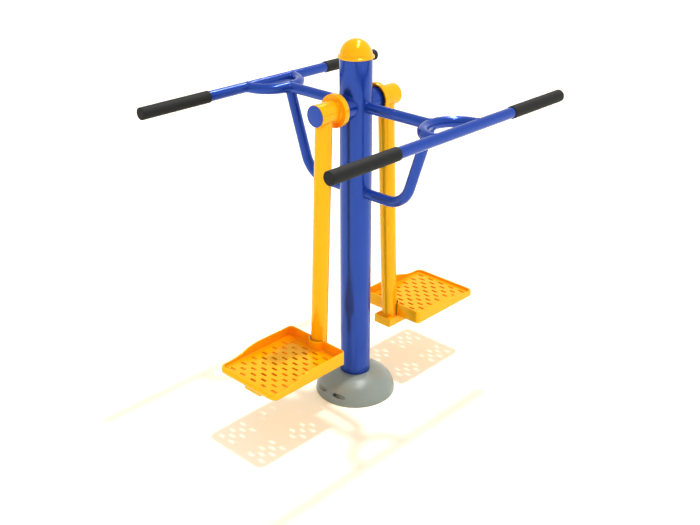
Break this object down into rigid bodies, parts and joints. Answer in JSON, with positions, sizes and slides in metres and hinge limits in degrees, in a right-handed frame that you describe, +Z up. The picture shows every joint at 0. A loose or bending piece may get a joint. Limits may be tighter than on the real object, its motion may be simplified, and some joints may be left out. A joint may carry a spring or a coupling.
{
  "type": "outdoor air walker",
  "caption": "Post-mounted outdoor pendulum walker for two users, with swinging foot pans on one axle and long handlebars.",
  "frame": {"origin": "on the ground at the post's axis", "axes": "+Z up along the post, +X along the swing axle and the handlebars, +Y along the arms towards the back handlebar"},
  "size_m": [1.162, 0.9322, 1.3725],
  "materials": {
    "blue_powder_coat": "gloss polyester powder coat on steel",
    "yellow_powder_coat": "gloss polyester powder coat on steel",
    "galvanised_steel": "hot-dip galvanised",
    "grey_cover_plastic": "satin moulded plastic",
    "zinc_fastener": "zinc plated",
    "bearing_steel": "ground steel",
    "bush_rubber": "moulded rubber",
    "grip_rubber": "matt moulded rubber"
  },
  "bodies": {
    "frame": {"post": "blue_powder_coat", "post_cap": "yellow_powder_coat", "base_plate": "galvanised_steel", "base_gussets": "galvanised_steel", "base_cover_back": "grey_cover_plastic", "base_cover_front": "grey_cover_plastic", "cover_bolts": "zinc_fastener", "cover_nuts": "zinc_fastener", "axle_housing": "blue_powder_coat", "housing_end_plates": "blue_powder_coat", "axle_shaft": "bearing_steel", "axle_collars": "bearing_steel", "inner_race_spacers": "bearing_steel", "axle_washers": "zinc_fastener", "axle_nuts": "zinc_fastener", "bearing_inner_races": "bearing_steel", "bearing_balls": "bearing_steel", "stop_pins": "zinc_fastener", "stop_bushes": "bush_rubber", "back_bow": "blue_powder_coat", "back_handlebar": "blue_powder_coat", "back_arm": "blue_powder_coat", "back_strut": "blue_powder_coat", "back_right_grip": "grip_rubber", "back_left_grip": "grip_rubber", "front_bow": "blue_powder_coat", "front_handlebar": "blue_powder_coat", "front_arm": "blue_powder_coat", "front_strut": "blue_powder_coat", "front_right_grip": "grip_rubber", "front_left_grip": "grip_rubber"},
    "left_swing": {"left_hub_cup": "yellow_powder_coat", "left_hub_sleeve": "yellow_powder_coat", "left_circlip": "bearing_steel", "left_outer_races": "bearing_steel", "left_race_spacer": "bearing_steel", "left_axle_seal": "bush_rubber", "left_hub_cap": "blue_powder_coat", "left_leg": "yellow_powder_coat", "left_foot_beam": "yellow_powder_coat", "left_beam_end_plates": "yellow_powder_coat", "left_pan_crossbar": "yellow_powder_coat", "left_pan_bolts": "zinc_fastener", "left_foot_pan": "yellow_powder_coat"},
    "right_swing": {"right_hub_cup": "yellow_powder_coat", "right_hub_sleeve": "yellow_powder_coat", "right_circlip": "bearing_steel", "right_outer_races": "bearing_steel", "right_race_spacer": "bearing_steel", "right_axle_seal": "bush_rubber", "right_hub_cap": "blue_powder_coat", "right_leg": "yellow_powder_coat", "right_foot_beam": "yellow_powder_coat", "right_beam_end_plates": "yellow_powder_coat", "right_pan_crossbar": "yellow_powder_coat", "right_pan_bolts": "zinc_fastener", "right_foot_pan": "yellow_powder_coat"}
  },
  "joints": [
    {"name": "left_swing_axle", "type": "hinge", "parent": "frame", "child": "left_swing", "pos_m": [-0.155, 0, 1.1446], "axis": [1, 0, 0], "range_deg": [-35, 35]},
    {"name": "right_swing_axle", "type": "hinge", "parent": "frame", "child": "right_swing", "pos_m": [0.155, 0, 1.1446], "axis": [1, 0, 0], "range_deg": [-35, 35]}
  ]
}
